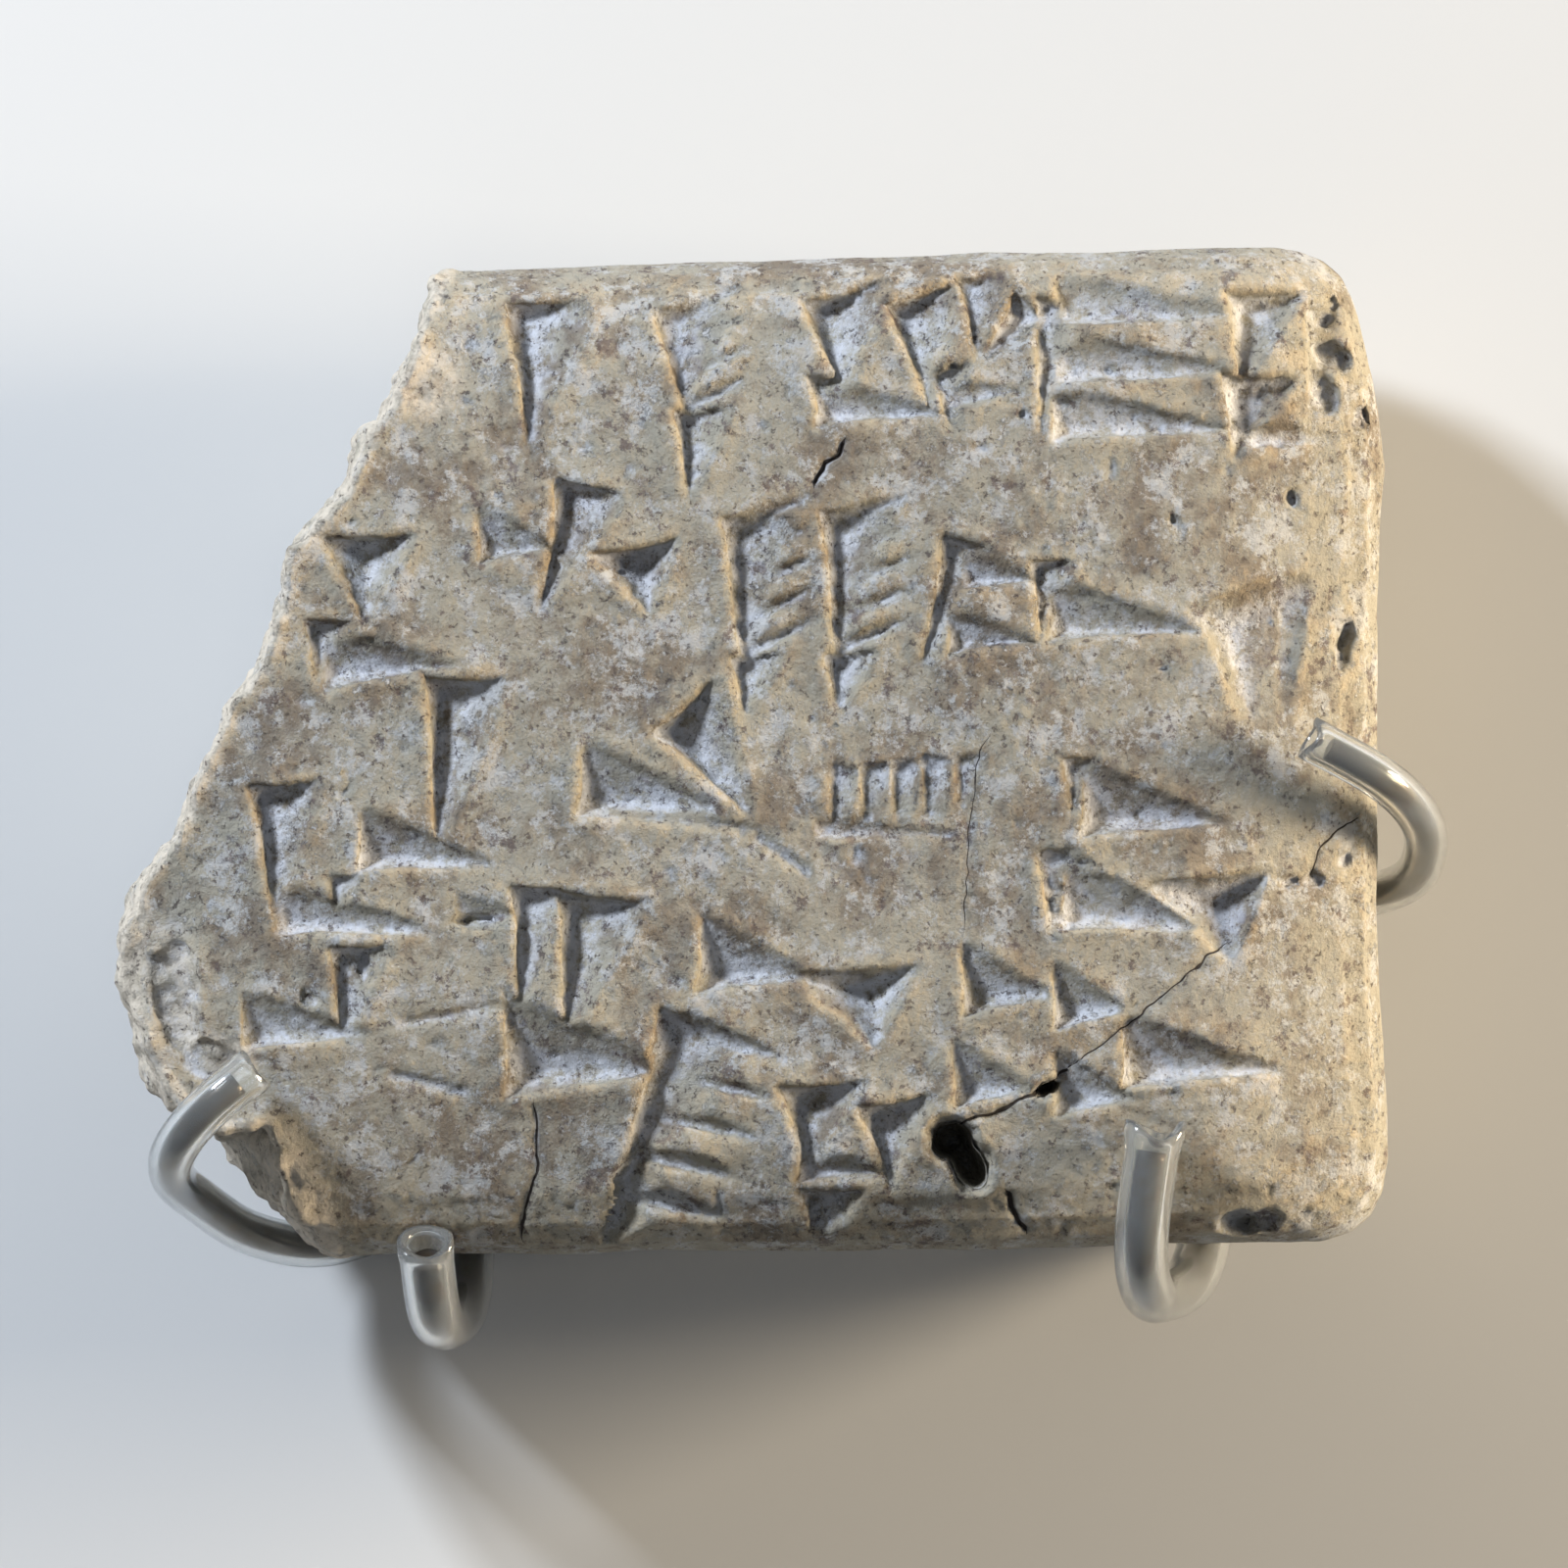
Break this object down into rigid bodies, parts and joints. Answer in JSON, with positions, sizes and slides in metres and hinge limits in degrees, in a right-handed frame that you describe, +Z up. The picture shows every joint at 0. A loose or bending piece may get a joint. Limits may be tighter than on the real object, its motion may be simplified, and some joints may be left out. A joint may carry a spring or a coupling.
{
  "type": "cuneiform tablet",
  "caption": "Small broken clay tablet with rows of wedge-shaped reed prints, lying face up in bent wire hooks with clear sleeves.",
  "frame": {"origin": "middle of the flat spot on the tablet's back, on the plane that the tablet lies on", "axes": "+Z up out of the written face; +Y towards the tablet's top edge; +X towards its unbroken right side"},
  "size_m": [0.0583, 0.0486, 0.0204],
  "materials": {
    "clay": "matte",
    "wire": "satin",
    "sleeve": "gloss"
  },
  "bodies": {
    "root": {"tablet": "clay", "wire_right": "wire", "sleeve_right": "sleeve", "wire_lower_left": "wire", "sleeve_lower_left": "sleeve", "wire_bottom_left": "wire", "sleeve_bottom_left": "sleeve", "wire_bottom_right": "wire", "sleeve_bottom_right": "sleeve"}
  },
  "joints": []
}
